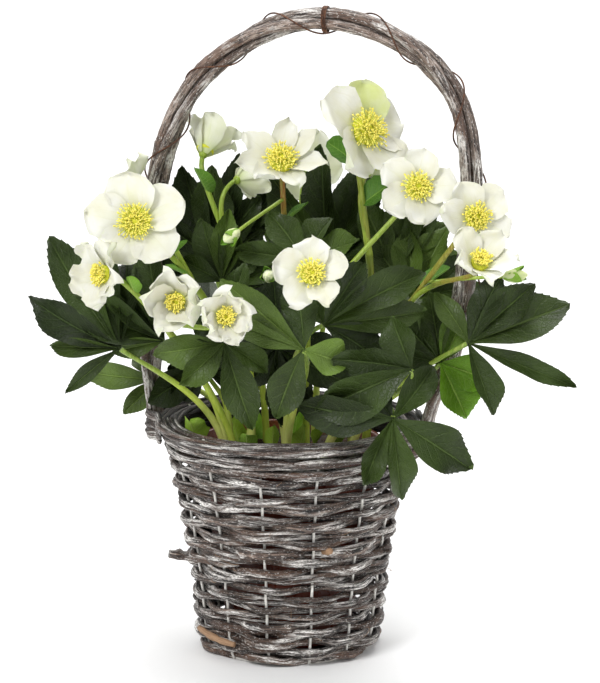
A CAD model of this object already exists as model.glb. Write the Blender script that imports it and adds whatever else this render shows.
"""The finished look of a Christmas rose in its nursery pot, in a willow basket with an arched handle.

Shapes are worked out in millimetres and made metres as each piece is finished. Bearings are in degrees: 0 is
+X, 90 is +Y, the back. Directions are (bearing, rise above the horizon).
"""

import bisect
import random
from math import copysign, cos, exp, floor, pi, radians, sin, sqrt, tan, tau

import bmesh
import bpy
from bpy.props import FloatProperty, FloatVectorProperty, IntProperty, PointerProperty
from mathutils import Matrix, Vector, noise


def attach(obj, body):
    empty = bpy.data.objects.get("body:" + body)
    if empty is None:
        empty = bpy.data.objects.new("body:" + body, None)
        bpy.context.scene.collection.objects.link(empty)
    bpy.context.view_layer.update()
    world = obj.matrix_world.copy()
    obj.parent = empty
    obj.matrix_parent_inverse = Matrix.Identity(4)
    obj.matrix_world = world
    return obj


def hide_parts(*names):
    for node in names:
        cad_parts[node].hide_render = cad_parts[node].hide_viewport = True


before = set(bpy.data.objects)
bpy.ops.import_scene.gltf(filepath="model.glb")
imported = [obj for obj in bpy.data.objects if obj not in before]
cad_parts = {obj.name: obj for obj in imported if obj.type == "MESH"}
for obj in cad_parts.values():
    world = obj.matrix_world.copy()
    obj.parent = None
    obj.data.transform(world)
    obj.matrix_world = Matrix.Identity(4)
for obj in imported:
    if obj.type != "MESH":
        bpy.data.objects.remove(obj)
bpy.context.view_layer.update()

bl_info = {
    "name": "Hellebore in a willow basket",
    "version": (1, 0, 0),
    "blender": (4, 5, 0),
    "location": "3D View > Sidebar > Hellebore",
    "description": "Dresses a potted Christmas rose and its willow basket",
    "category": "Add Mesh",
}

MM = 0.001
GAP = 0.3  # between touching pieces
WELD = 0.002  # points nearer than this are one
UV_PER_MM = 0.01  # along a rod
UP = Vector((0, 0, 1))

# ---- The basket's measures, in millimetres; lengths round the wall are in turns ----
FOOT_ROUNDING = 5
STAKES = 13
SWAY = 3.2
WEAVE_ROWS = 22
WEAVE_FIRST = 4.2
WEAVE_LAST = 142.0
WEAVE_PITCH = (WEAVE_LAST - WEAVE_FIRST) / (WEAVE_ROWS - 1)
STEP_UP = 0.8  # share of a turn after which the strand climbs to its next row
LAP = 0.09
ROD_TURNS = (0.85, 1.2)
FILLER_TWIGS = 84
FILLER_TURNS = (0.1, 0.42)
FIBRES = 26
PACKED_COURSES = 6  # of thin twigs between the weave and the border
PACKED_LOW = 145.0
PACKED_RISE = 2.9
BORDER_HEIGHT = 160.4
BORDER_STRANDS = 4
BORDER_OFF = 5.3  # from the middle of the weave, on each side
WRAP_STRANDS = 7  # round each foot of the handle
WRAP_LOW = 147.5
WRAP_RISE = 2.9
WRAP_RADIUS = 91.5
WRAP_REACH = 27  # degrees on each side of a foot
SPLIT_HEIGHTS = (18, 14.5)  # of the split rod across the foot, from one end to the other
SPLIT_BEARINGS = (202, 236)
WIRE_LOW = 0.95
LOW_RING = 1.3
BASE_RADIUS = 53.5
BASE_SPOKES = 4
BASE_ROWS = 11
BASE_TURN = 0.2
HANDLE_TURN = 15
HANDLE_RODS = (4.1, 3.8, 3.5)
HANDLE_SHADES = (0.35, 0.6, 0.2)
HANDLE_KNOTS = [0.13, 0.37, 0.62, 0.86]  # shares of the handle's length, like the two below
BINDING_FROM = 0.11
BAND_AT = (0.2, 0.5, 0.74)
BINDING_RADIUS = 0.62
BINDING_TURNS = 8
BINDING_CLEAR = 9.5
BAND_CLEAR = 9.2
HANDLE_ARCH = [
    (-97.6, 150), (-99.5, 176), (-102, 220), (-101, 280), (-94, 338), (-70, 392), (-38, 424), (0, 441),
    (44, 443), (87, 427), (117, 393), (129, 345), (127, 275), (116, 215), (102, 176), (97.6, 150),
]
POT = {"foot": 43, "mouth": 65, "lip": 2, "lip_tall": 8, "wall": 2, "bottom": 7.3, "top": 148}
MIX = {"top": 144, "mound": 3, "hole_depth": 10}
CRUMBS = 620

# ---- The leaves ----
STALK_RISE = 0.6  # share of its height over which a stalk goes straight up
STALK_SEAM = Vector((0.1, 1, 0.2))
SHINGLE_LEAF = 12
SHINGLE_SEPAL = 9
VEINS = 8  # side veins on each half of a leaflet
VEIN_SWEEP = 1.9
# Leaves that share a foot in the mix are one piece: the foot, the share of its height over which the stalks
# go straight up, and the leaves. A leaf has its hub, the way that its face looks, how far its leaflets
# droop, where it differs from the rest, and (turn, length, width, tone) for each leaflet. The tone runs
# from 0, an old dark leaflet, to 1, a young bright one.
LEAVES = {
    "leaves_left": ((-44, -12), 0.3, [
        ((-116, -42, 222), (-90, 26), 16, {}, [
            (86, 72, 30, 0), (104, 88, 32, 0), (127, 98, 32, 0.05), (157, 74, 30, 0), (178, 52, 18, 0.2),
            (216, 50, 14, 0.1),
        ]),
        ((-86, -34, 226), (-90, 18), 14, {}, [
            (102, 72, 32, 0.05), (132, 56, 32, 0), (162, 70, 38, 0.05), (192, 38, 16, 0.3),
        ]),
    ]),
    "leaf_left_low": ((-42, 16), STALK_RISE, [
        ((-94, 58, 179), (-90, 30), 15, {}, [
            (134, 34, 18, 0.4), (178, 62, 21, 0.42), (226, 36, 18, 0.45),
        ]),
        ((-60, 18, 194), (-90, 18), 10, {}, [
            (24, 48, 28, 0), (80, 40, 26, 0), (146, 28, 22, 0.05), (182, 26, 24, 0), (204, 46, 26, 0),
            (340, 40, 24, 0), (6, 60, 26, 0), (222, 30, 24, 0),
        ]),
    ]),
    "leaves_front_left": ((-26, -36), STALK_RISE, [
        ((-43, -79, 234), (-90, 22), 12, {}, [
            (52, 44, 22, 0.15), (80, 60, 22, 0.1), (146, 28, 20, 0.05), (192, 50, 26, 0.3),
            (228, 42, 26, 0.2), (285, 62, 30, 0.1), (330, 36, 22, 0.15),
        ]),
    ]),
    "leaves_front": ((-2, -44), STALK_RISE, [
        ((10, -99, 233), (-90, 6), 14, {}, [
            (-18, 32, 28, 0.5), (92, 46, 28, 0.1), (139, 74, 26, 0.32), (161, 58, 18, 0.3),
            (244, 50, 28, 0.1),
        ]),
        ((24, -84, 247), (-90, 16), 26, {}, [
            (-26, 48, 30, 0.05), (6, 74, 26, 0.1), (32, 80, 29, 0.1), (124, 34, 24, 0.1),
            (62, 52, 28, 0.05),
        ]),
    ]),
    "leaves_core": ((-28, -18), STALK_RISE, [
        ((-8, -34, 222), (-90, -2), 12, {"stalk_from": 92}, [
            (90, 52, 24, 0), (158, 44, 26, 0), (202, 46, 24, 0), (240, 38, 20, 0), (270, 58, 32, 0),
            (300, 54, 24, 0), (328, 62, 26, 0.05), (358, 46, 24, 0),
        ]),
    ]),
    "leaves_drape": ((24, -38), STALK_RISE, [
        ((70, -100, 186), (-90, 8), 16, {}, [
            (128, 36, 28, 0), (176, 66, 34, 0.05), (242, 50, 24, 0.1), (276, 62, 26, 0.1),
            (329, 66, 34, 0.05), (408, 46, 28, 0.05),
        ]),
        ((82, -100, 220), (-90, 12), 12, {"stalk_from": -80}, [
            (112, 38, 26, 0.05), (168, 54, 28, 0.05), (204, 72, 42, 0.1),
        ]),
    ]),
    "leaves_right": ((42, -22), 0.3, [
        ((122, -62, 230), (-90, 20), 14, {}, [
            (-70, 54, 26, 0.05), (-23, 81, 18, 0.1), (20, 78, 36, 0.2), (43, 62, 26, 0.1),
            (68, 54, 24, 0.05), (117, 42, 18, 0.2),
        ]),
        ((104, -50, 214), (-90, 10), 10, {}, [
            (-64, 43, 34, 0.95), (-20, 38, 30, 0.9), (60, 36, 26, 0.6), (98, 50, 24, 0.2),
            (134, 46, 26, 0.1), (170, 40, 22, 0.1),
        ]),
    ]),
    "leaves_right_back": ((44, 6), STALK_RISE, [
        ((86, -4, 250), (-90, 16), 8, {}, [
            (16, 52, 26, 0.1), (40, 50, 24, 0.1), (68, 58, 28, 0.35), (92, 50, 28, 0.3), (124, 48, 28, 0.2),
        ]),
        ((74, 8, 262), (-90, 8), 6, {}, [
            (16, 50, 30, 0.4), (50, 56, 30, 0.3), (62, 74, 26, 0.1), (80, 66, 32, 0.1), (110, 60, 30, 0.1),
        ]),
    ]),
    "leaves_tall_middle": ((18, 26), STALK_RISE, [
        ((28, 38, 264), (-90, 4), -6, {"stalk_from": -85}, [
            (14, 60, 28, 0.05), (44, 66, 30, 0.1), (58, 88, 30, 0), (70, 80, 32, 0.05), (96, 88, 32, 0),
            (120, 84, 32, 0.1), (146, 62, 28, 0.05), (172, 54, 26, 0), (198, 70, 30, 0),
        ]),
    ]),
    "leaves_tall_left": ((-24, 28), STALK_RISE, [
        ((-54, 40, 268), (-90, 4), -4, {"stalk_from": -88}, [
            (30, 44, 24, 0.05), (44, 64, 26, 0), (53, 76, 26, 0), (60, 58, 30, 0), (74, 80, 26, 0),
            (86, 70, 34, 0.05), (110, 72, 32, 0), (138, 52, 28, 0.05), (166, 54, 26, 0), (196, 50, 24, 0),
        ]),
    ]),
    "leaves_inner": ((-2, -12), STALK_RISE, [
        ((10, -46, 284), (-90, 34), 14, {}, [
            (24, 42, 24, 0.3), (64, 44, 26, 0.15), (116, 44, 26, 0.1), (168, 50, 22, 0.15),
        ]),
        ((-46, -26, 266), (-90, 10), 8, {}, [
            (36, 34, 20, 0.1), (12, 44, 22, 0.1), (68, 40, 20, 0.2), (90, 50, 24, 0.25), (152, 34, 22, 0.1),
            (114, 46, 24, 0.15),
        ]),
    ]),
    "leaves_back": ((0, 44), STALK_RISE, [
        ((-58, 88, 232), (125, 66), 34, {"aim": (128, 16)}, [
            (-100, 56, 26, 0.1), (-56, 68, 29, 0.05), (-16, 74, 31, 0), (24, 74, 31, 0.05),
            (66, 60, 27, 0.1),
        ]),
        ((56, 92, 226), (62, 64), 34, {"aim": (58, 12)}, [
            (-70, 60, 26, 0.1), (-28, 72, 30, 0.05), (12, 76, 31, 0.05), (54, 68, 29, 0.1),
            (98, 54, 26, 0.15),
        ]),
        ((-4, 84, 254), (90, 40), 22, {"aim": (92, 50)}, [
            (-46, 58, 28, 0.25), (0, 64, 31, 0.2), (46, 58, 28, 0.25),
        ]),
    ]),
}

# ---- The blooms ----
# lift is how far the sepals stand up from flat at their base, bend how far they bend back along their length.
# green is how much lime shows at the base of the sepals, and limes lists those that are lime nearly all over.
BLOOM_KEYS = ("at", "look", "span", "lift", "bend", "turn", "green")
BLOOM_ROWS = {
    1: ((-102, -64, 314), (-98, 12), 69, 22, 26, 10, 0.5, {}),
    2: ((-106, 2, 327), (165, 35), 48, 30, 10, 40, 0.5, {}),
    3: ((-60, 24, 347), (62, 44), 60, 56, 4, 20, 0.7, {}),
    4: ((-5, -12, 345), (-92, 46), 66, 24, 6, 0, 0.2, {"count": 7, "broad": 0.3}),
    5: ((50, -20, 368), (-54, 24), 78, 20, 16, -12, 0.6, {
        "limes": [0], "lengths": (0.9, 1.08, 0.98, 0.95, 0.78),
    }),
    6: ((87, -52, 335), (-88, 18), 54, 20, 16, 54, 0.3, {}),
    7: ((125, -64, 316), (-75, 20), 53, 24, 16, 18, 0.4, {"neck": 10}),
    8: ((126, -96, 288), (-72, 52), 54, 46, 20, 36, 0.5, {"neck": 12}),
    9: ((15, -103, 284), (-88, 28), 52, 26, 14, 0, 0.4, {"nod": 0}),
    10: ((-121, -76, 280), (-138, 6), 52, 40, 22, 50, 0.3, {"crumple": 0.8, "broad": 0.5}),
    11: ((-73, -96, 266), (-102, 4), 54, 50, 6, 14, 0.5, {
        "nod": 1.6, "neck": 30, "crumple": 0.8, "broad": 0.52, "pointed": 0.3,
    }),
    12: ((-43, -108, 257), (-76, 14), 43, 42, 14, 60, 0.6, {
        "nod": 1.6, "crumple": 0.6, "broad": 0.56, "pointed": 0,
    }),
    13: ((54, 8, 336), (60, 36), 56, 44, 10, 12, 0.5, {}),
    14: ((-36, 18, 330), (40, 6), 44, 50, 6, 44, 0.5, {}),
    15: ((10, 96, 326), (92, 22), 62, 22, 18, 30, 0.4, {}),
}
BLOOMS = {number: dict(zip(BLOOM_KEYS, row), **rest) for number, (*row, rest) in BLOOM_ROWS.items()}

# A bract is (share of the way up, bearing, rise, length, width); a bud is (share of the way up, x, y, z).
# flush is how far the stem has turned reddish brown.
STEMS = {
    1: {
        "foot": (-26, -2), "blooms": [1, 2], "bracts": [(0.8, -40, 30, 20, 12), (0.7, 200, 30, 18, 11)],
        "buds": [],
    },
    2: {
        "foot": (-36, -30), "upright": 0.3, "blooms": [10, 11, 12], "bracts": [(0.86, 250, 50, 18, 12)],
        "buds": [],
    },
    3: {"foot": (-16, 10), "blooms": [3, 14], "bracts": [(0.88, -120, 50, 26, 18)], "buds": []},
    4: {
        "foot": (0, 2), "blooms": [4], "bracts": [(0.8, 10, 40, 22, 11)],
        "buds": [(0.88, -38, -54, 303), (0.62, -13, -60, 276)], "flush": 0.9,
    },
    5: {
        "foot": (52, -8), "lean": 20, "blooms": [5, 13],
        "bracts": [(0.9, 175, 35, 26, 22), (0.78, -10, 35, 26, 22)], "buds": [], "flush": 0.25,
        "stout": 1.5,
    },
    6: {"foot": (12, -14), "blooms": [9, 6], "bracts": [(0.8, -150, 40, 22, 14)], "buds": []},
    7: {
        "foot": (28, -4), "upright": 0.2, "blooms": [7, 8], "bracts": [(0.7, 20, 35, 24, 16)],
        "buds": [(0.72, 152, -60, 276)], "flush": 0.5, "stout": 1.05,
    },
    8: {"foot": (0, 18), "blooms": [15], "bracts": [(0.7, 90, 30, 24, 14)], "buds": [(0.8, -20, 84, 300)]},
}
BRANCH = 0.85
FORK = 0.62
STEM_RADIUS = 2.2
RECEPTACLE_THICK = 2.4
RECEPTACLE = [(0, -2.6), (1.6, -2.4), (2.9, -1.4), (3.3, -0.3), (2.8, 0.8), (1.5, 1.2), (0, 1.3)]
LIME_SHADE = 1.62  # a sepal's shade over 1 is lime nearly all over
SEPALS = 5
BRACT_THICK = 0.7
GOLDEN_ANGLE = 2.39996
STAMEN_REACH = 0.225  # these three are shares of the bloom's span
NECTARY_LONG = 0.085
CARPEL_TALL = 0.1
NECTARIES = 15
CARPELS = 6

# Sheaths round the feet of the stalks: the stem that each belongs to, its foot, direction, length and width.
SHEATHS = [
    (1, (-64, -26, 150), (-110, 62), 24, 20),
    (1, (-34, -8, 144), (-120, 66), 26, 13),
    (2, (-28, -48, 146), (-96, 60), 22, 15),
    (2, (-12, -26, 144), (-80, 64), 24, 12),
    (4, (-8, -54, 145), (-70, 52), 18, 10),
    (6, (6, -22, 144), (-60, 62), 24, 13),
    (3, (-22, 14, 144), (130, 62), 26, 13),
    (5, (18, 2, 144), (-20, 60), 24, 12),
    (7, (34, -8, 144), (-30, 58), 26, 14),
    (8, (4, 26, 144), (80, 60), 26, 14),
]


# ---- Plain geometry ----
def direction(bearing, rise):
    """The unit vector of a bearing and a rise in degrees."""
    level = cos(radians(rise))
    return Vector((level * cos(radians(bearing)), level * sin(radians(bearing)), sin(radians(rise))))


def square_to(vector, axis):
    """The part of a vector that is square to a unit vector, as a unit vector."""
    return (vector - axis * vector.dot(axis)).normalized()


def blend_between(first, second, share):
    return first + (second - first) * share


def soft_step(value, low, high):
    """0 below low, 1 above high, and smooth between them."""
    share = min(max((value - low) / (high - low), 0), 1)
    return share * share * (3 - 2 * share)


def round_ring(radius, angle, height):
    return Vector((radius * cos(angle), radius * sin(angle), height))


def tapered(thick, blunt, slope, count):
    """Radii along a rod that narrows towards both of its ends."""
    return [thick * min(1, blunt + slope * min(i, count - i) / count) for i in range(count + 1)]


class Path:
    """A smooth line through close points, read by a share of its length."""

    def __init__(self, points):
        self.points = points
        self.reach = [0.0]
        for first, second in zip(points, points[1:]):
            self.reach.append(self.reach[-1] + (second - first).length)

    def at(self, share):
        want = min(max(share, 0), 1) * self.reach[-1]
        index = min(max(bisect.bisect_right(self.reach, want) - 1, 0), len(self.points) - 2)
        span = self.reach[index + 1] - self.reach[index] or 1
        return self.points[index].lerp(self.points[index + 1], (want - self.reach[index]) / span)

    def along(self, share):
        return (self.at(share + 0.01) - self.at(share - 0.01)).normalized()

    def evenly(self, count):
        return [self.at(i / count) for i in range(count + 1)]


def bezier(first, second, third, fourth, count=60):
    """A path along a cubic curve with four control points."""
    points = []
    for i in range(count + 1):
        share = i / count
        rest = 1 - share
        near = first * rest**3 + second * (3 * share * rest**2)
        points.append(near + third * (3 * share**2 * rest) + fourth * share**3)
    return Path(points)


def spline(points, count=24):
    """A path through points that are some way apart, smooth and without loops."""
    made = []
    for i, (start, end) in enumerate(zip(points, points[1:])):
        before = points[i - 1] if i else points[0] * 2 - points[1]
        after = points[i + 2] if i + 2 < len(points) else points[-1] * 2 - points[-2]
        gaps = [max((b - a).length ** 0.5, 1e-4) for a, b in ((before, start), (start, end), (end, after))]
        leave = (start - before) / gaps[0] - (end - before) / (gaps[0] + gaps[1]) + (end - start) / gaps[1]
        arrive = (end - start) / gaps[1] - (after - start) / (gaps[1] + gaps[2]) + (after - end) / gaps[2]
        leave *= gaps[1]
        arrive *= gaps[1]
        square = start * -3 + end * 3 - leave * 2 - arrive
        cube = start * 2 - end * 2 + leave + arrive
        for k in range(count + (i == len(points) - 2)):
            t = k / count
            made.append(start + leave * t + square * t**2 + cube * t**3)
    return Path(made)


# ---- Mesh building ----
def start_mesh():
    """An empty mesh with a UV map and a shade for each vertex, which the finishes read."""
    bm = bmesh.new()
    bm.loops.layers.uv.new("UVMap")
    bm.verts.layers.float.new("shade")
    return bm


def faces_of(verts):
    return {face for vert in verts for face in vert.link_faces}


def sheet(bm, rows, columns, place, pattern, material=0, shade=0.5):
    """A grid of faces. place(row, column) gives each point, pattern(row, column) its place in the UV map."""
    verts = bmesh.ops.create_grid(bm, x_segments=columns, y_segments=rows, size=0.5)["verts"]
    uv_layer = bm.loops.layers.uv["UVMap"]
    shade_layer = bm.verts.layers.float["shade"]
    places = {}
    for vert in verts:
        row, column = round((vert.co.y + 0.5) * rows), round((vert.co.x + 0.5) * columns)
        places[vert] = (row, column)
        vert.co = place(row, column)
        vert[shade_layer] = shade(row, column) if callable(shade) else shade
    for face in faces_of(verts):
        face.material_index = material
        face.smooth = True
        for loop in face.loops:
            loop[uv_layer].uv = pattern(*places[loop.vert])
    return verts


def rod(bm, points, radii, toward, sides=8, lumps=0.0, material=0, shade=0.5):
    """A closed round rod through close points. Its seam looks toward a direction, given for each point."""
    last = len(points) - 1
    frames = []
    reach = 0.0
    for i, point in enumerate(points):
        tangent = (points[min(i + 1, last)] - points[max(i - 1, 0)]).normalized()
        first = square_to(toward(point) if callable(toward) else toward, tangent)
        reach += (point - points[i - 1]).length if i else 0
        frames.append((first, tangent.cross(first), reach * UV_PER_MM))

    def index(row):
        return min(max(row - 1, 0), last)

    def place(row, column):
        i = index(row)
        if row in (0, last + 2):
            return points[i].copy()
        angle = tau * (column % sides) / sides
        out = frames[i][0] * cos(angle) + frames[i][1] * sin(angle)
        radius = radii[i]
        if lumps:
            radius *= 1 + lumps * noise.noise((points[i] + out * radius) * 0.21)
        return points[i] + out * radius

    def pattern(row, column):
        return (frames[index(row)][2] + UV_PER_MM * (row > last + 1), column / sides)

    def shades(row, column):
        return shade(index(row) / last) if callable(shade) else shade

    return sheet(bm, last + 2, sides, place, pattern, material, shades)


def twig(bm, points, radii, rng, sides=6, lumps=0.18):
    """A willow rod of the basket, with its seam inward and a shade of its own."""
    rod(bm, points, radii, inward, sides, lumps, shade=rng.random())


def turned(bm, profile, sides, material=0, shade=0.5, way=UP, centre=Vector(), ridges=0, ridge_depth=0.0):
    """A round of revolution from a profile of (radius, height), about an axis that stands up unless given."""
    first = square_to(Vector((1, 0, 0)) if abs(way.x) < 0.9 else Vector((0, 1, 0)), way)
    second = way.cross(first)

    def place(row, column):
        radius, height = profile[row]
        angle = tau * (column % sides) / sides
        if ridges:
            radius *= 1 - ridge_depth * abs(cos(angle * ridges / 2)) ** 6
        return centre + way * height + (first * cos(angle) + second * sin(angle)) * radius

    def pattern(row, column):
        return (row / (len(profile) - 1), column / sides)

    sheet(bm, len(profile) - 1, sides, place, pattern, material, shade)


def nothing(*_):
    return 0


def blade(
    bm, *, at, along, face, length, width, bend, fold, cup, thick, outline, rows, columns, materials, shade,
    edge=None, ripple=nothing, groove=nothing, ridge=nothing, twist=0, sway=0,
):
    """A thin blade with an upper and a lower face, welded along its edges: a leaflet, a sepal or a bract."""
    up = square_to(face, along)
    side = up.cross(along)
    turn = radians(bend if abs(bend) > 0.5 else 0.5)
    fold, twist, sway = radians(fold), radians(twist), radians(sway)
    last = len(columns) - 1

    def spot(row, column, under):
        share, across = rows[row], columns[column]
        normal = up * cos(turn * share) + along * sin(turn * share)
        middle = (
            at
            + along * (length * sin(turn * share) / turn)
            - up * (length * (1 - cos(turn * share)) / turn)
            + side * (length * share * share * sin(sway))
        )
        reach = width / 2 * outline(share)
        out = side * cos(twist * share) + normal * sin(twist * share)
        normal = normal * cos(twist * share) - side * sin(twist * share)
        stand, forward = edge(share, row) if abs(across) > 0.99 and edge else (0, 0)
        wide = across * reach * cos(fold) + copysign(stand * width / 2, across) * (stand != 0)
        high = abs(across) ** cup * reach * sin(fold) + ripple(share, across)
        cover = (1 - abs(across) ** 4) * min(1, 8 * share) * min(1, 12 * (1 - share))
        if under:
            high -= thick * cover + ridge(share, across * reach) * cover
        else:
            high -= groove(share, across, across * reach) * cover
        return middle + out * wide + normal * high + along * (forward * length)

    for under in (False, True):

        def way(column, under=under):
            return last - column if under else column

        sheet(
            bm,
            len(rows) - 1,
            last,
            lambda row, column, under=under, way=way: spot(row, way(column), under),
            lambda row, column, way=way: (rows[row], 0.5 + columns[way(column)] / 2),
            materials[under],
            shade,
        )


def piece(name, bm, finishes, slot, *nodes):
    """Closes a mesh, makes it metres, and sets it in the model in place of the nodes that it stands for."""
    bmesh.ops.remove_doubles(bm, verts=bm.verts, dist=WELD)
    loose = [vert for vert in bm.verts if not vert.link_faces]
    bmesh.ops.delete(bm, geom=loose, context="VERTS")
    for edge in bm.edges:
        if len({face.material_index for face in edge.link_faces}) > 1:
            edge.smooth = False
    bmesh.ops.scale(bm, vec=(MM, MM, MM), verts=bm.verts)
    made = link_mesh(name, bm)
    for name_of_finish in finishes.split():
        made.data.materials.append(finish(name_of_finish))
    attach(made, "root")
    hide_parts(*nodes)


def link_mesh(name, bm):
    """Makes an object of a mesh and puts it in the scene."""
    mesh = bpy.data.meshes.new(name)
    bm.to_mesh(mesh)
    bm.free()
    made = bpy.data.objects.new(name, mesh)
    bpy.context.scene.collection.objects.link(made)
    return made


# ---- Finishes ----
def tint(red, green, blue):
    """A colour as it is seen on a screen, from 0 to 255, made linear."""
    shares = (red / 255, green / 255, blue / 255)
    return tuple(v / 12.92 if v <= 10 / 255 else ((v + 0.055) / 1.055) ** 2.4 for v in shares)


def darker(colour, share):
    return tuple(value * share for value in colour)


class Finish:
    """A material that is built from nodes."""

    SOCKETS = {
        "colour": "Base Color",
        "rough": "Roughness",
        "metal": "Metallic",
        "normal": "Normal",
        "specular": "Specular IOR Level",
        "under": "Subsurface Weight",
        "under_scale": "Subsurface Scale",
        "under_radius": "Subsurface Radius",
    }

    def __init__(self, name):
        self.material = bpy.data.materials.new(name)
        self.material.use_nodes = True
        self.tree = self.material.node_tree
        self.shader = self.tree.nodes["Principled BSDF"]

    def feed(self, socket, source):
        """Link a socket to another node's output, or set its own value."""
        if isinstance(source, bpy.types.NodeSocket):
            self.tree.links.new(source, socket)
        else:
            socket.default_value = (*source, 1) if socket.type == "RGBA" else source

    def node(self, kind, inputs=None, **settings):
        made = self.tree.nodes.new(kind)
        for key, value in settings.items():
            setattr(made, key, value)
        for socket, source in (inputs or {}).items():
            self.feed(made.inputs[socket], source)
        return made

    def pattern(self):
        return self.node("ShaderNodeUVMap", uv_map="UVMap").outputs["UV"]

    def solid_place(self):
        return self.node("ShaderNodeTexCoord").outputs["Object"]

    def shade(self):
        return self.node("ShaderNodeAttribute", attribute_name="shade").outputs["Fac"]

    def maths(self, operation, *values, clamp=False):
        inputs = dict(enumerate(values))
        return self.node("ShaderNodeMath", inputs, operation=operation, use_clamp=clamp).outputs[0]

    def times(self, first, second, clamp=False):
        return self.maths("MULTIPLY", first, second, clamp=clamp)

    def plus(self, first, second):
        return self.maths("ADD", first, second)

    def less(self, first, second, clamp=False):
        return self.maths("SUBTRACT", first, second, clamp=clamp)

    def most(self, first, second):
        return self.maths("MAXIMUM", first, second)

    def off_middle(self, across):
        """How far a point is from the midrib of a blade: 0 on it, 1 at the edge."""
        return self.maths("ABSOLUTE", self.less(self.times(across, 2.0), 1.0))

    def shift(self, vector, scale=(1, 1, 1), move=(0, 0, 0)):
        inputs = {"Vector": vector, "Scale": scale, "Location": move}
        return self.node("ShaderNodeMapping", inputs).outputs[0]

    def slid(self, shade, along, through=None):
        """The UV map, slid to another part of the pattern for each rod by its shade."""
        inputs = {0: self.times(shade, along)}
        if through:
            inputs[2] = self.times(shade, through)
        slide = self.node("ShaderNodeCombineXYZ", inputs).outputs[0]
        return self.node("ShaderNodeVectorMath", {0: self.pattern(), 1: slide}, operation="ADD").outputs[0]

    def grain(self, vector, scale, detail=4.0, rough=0.55, distort=0.0):
        inputs = {"Vector": vector, "Scale": scale, "Detail": detail}
        inputs |= {"Roughness": rough, "Distortion": distort}
        return self.node("ShaderNodeTexNoise", inputs).outputs["Fac"]

    def ramp(self, factor, *stops):
        made = self.node("ShaderNodeValToRGB", {"Fac": factor})
        elements = made.color_ramp.elements
        while len(elements) < len(stops):
            elements.new(0.5)
        for element, (position, colour) in zip(elements, stops):
            element.position = position
            element.color = (*colour, 1) if isinstance(colour, tuple) else (colour, colour, colour, 1)
        return made.outputs["Color"]

    def fade(self, factor, low, high, end=1.0, start=0.0):
        """A grey that runs from start to end as the factor runs from low to high."""
        return self.ramp(factor, (low, start), (high, end))

    def blend(self, factor, first, second, how="MIX"):
        inputs = {0: factor, 6: first, 7: second}
        return self.node("ShaderNodeMix", inputs, data_type="RGBA", blend_type=how).outputs[2]

    def parts(self, vector):
        return self.node("ShaderNodeSeparateXYZ", {0: vector}).outputs

    def bump(self, height, strength, distance):
        inputs = {"Height": height, "Strength": strength, "Distance": distance}
        return self.node("ShaderNodeBump", inputs).outputs[0]

    def set(self, **sockets):
        for key, source in sockets.items():
            self.feed(self.shader.inputs[self.SOCKETS[key]], source)
        return self.material


def willow_finish(name, dark, middle, pale, brown, wash, wash_much, inner):
    """Weathered willow bark: fine streaks along the rod, brown patches, and a dry white wash outside."""
    f = Finish(name)
    shade = f.shade()
    place = f.slid(shade, 57.0, 19.0)
    streak = f.grain(f.shift(place, (6, 13, 1)), 1.0, 7.0, 0.7, 0.3)
    fine = f.grain(f.shift(place, (17, 40, 1)), 1.0, 4.0, 0.6)
    speck = f.grain(f.shift(place, (52, 24, 1)), 1.0, 3.0, 0.6)
    patch = f.grain(f.shift(place, (3.1, 1.7, 1)), 1.0, 2.0, 0.5)
    other = f.grain(f.shift(place, (2.3, 1.2, 1), (7, 3, 5)), 1.0, 2.0, 0.5)
    bark = f.ramp(streak, (0.40, dark), (0.49, middle), (0.62, pale))
    bark = f.blend(f.fade(other, 0.46, 0.58, 0.8), bark, brown)
    bark = f.blend(f.fade(fine, 0.40, 0.50, 0.0, 1.0), bark, dark)
    tone = f.ramp(shade, (0.0, (0.45, 0.42, 0.40)), (0.5, (0.85, 0.83, 0.81)), (1.0, (1.3, 1.27, 1.25)))
    bark = f.blend(1.0, bark, tone, "MULTIPLY")
    off_outer = f.maths("ABSOLUTE", f.less(f.parts(f.pattern())[1], 0.5))
    outer = f.less(1.0, f.times(off_outer, 2.0))
    where = f.times(f.fade(patch, 0.48, 0.58), f.fade(outer, 0.40, 0.66))
    dry = f.times(f.fade(streak, 0.46, 0.53), f.fade(speck, 0.42, 0.52, 1.0, 0.3))
    bark = f.blend(1.0, bark, f.fade(outer, 0.22, 0.66, 1.0, inner), "MULTIPLY")
    thin = f.times(f.fade(speck, 0.60, 0.65, 0.65), f.fade(outer, 0.2, 0.6))
    white = f.most(f.times(f.times(where, dry), wash_much), f.times(thin, wash_much))
    height = f.plus(f.plus(f.times(streak, 0.7), f.times(fine, 0.45)), f.times(speck, 0.5))
    return f.set(
        colour=f.blend(white, bark, wash),
        rough=f.fade(streak, 0.3, 0.62, 0.34, 0.7),
        normal=f.bump(height, 1.0, 0.0015),
        specular=0.65,
    )


def wire_finish(name, colour, rust, metal, rough):
    """Thin wire: galvanised and nearly white, or brown annealed."""
    f = Finish(name)
    mark = f.grain(f.solid_place(), 420.0, 3.0, 0.6)
    return f.set(
        colour=f.blend(f.fade(mark, 0.42, 0.66), colour, rust),
        metal=metal,
        rough=f.fade(mark, 0.3, 0.7, rough + 0.2, rough),
        normal=f.bump(mark, 0.25, 0.0002),
    )


def pot_finish(name, colour, dust):
    """Glossy terracotta-brown plastic with a little dust of potting mix on it."""
    f = Finish(name)
    place = f.solid_place()
    swirl = f.grain(f.shift(place, (1, 1, 3)), 60.0, 3.0, 0.5)
    film = f.grain(place, 190.0, 5.0, 0.65)
    body = f.blend(f.fade(swirl, 0.35, 0.7, 0.5), colour, darker(colour, 0.6))
    return f.set(
        colour=f.blend(f.fade(film, 0.55, 0.75, 0.5), body, dust),
        rough=f.fade(film, 0.35, 0.7, 0.5, 0.22),
        normal=f.bump(film, 0.12, 0.0003),
        specular=0.5,
    )


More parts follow.
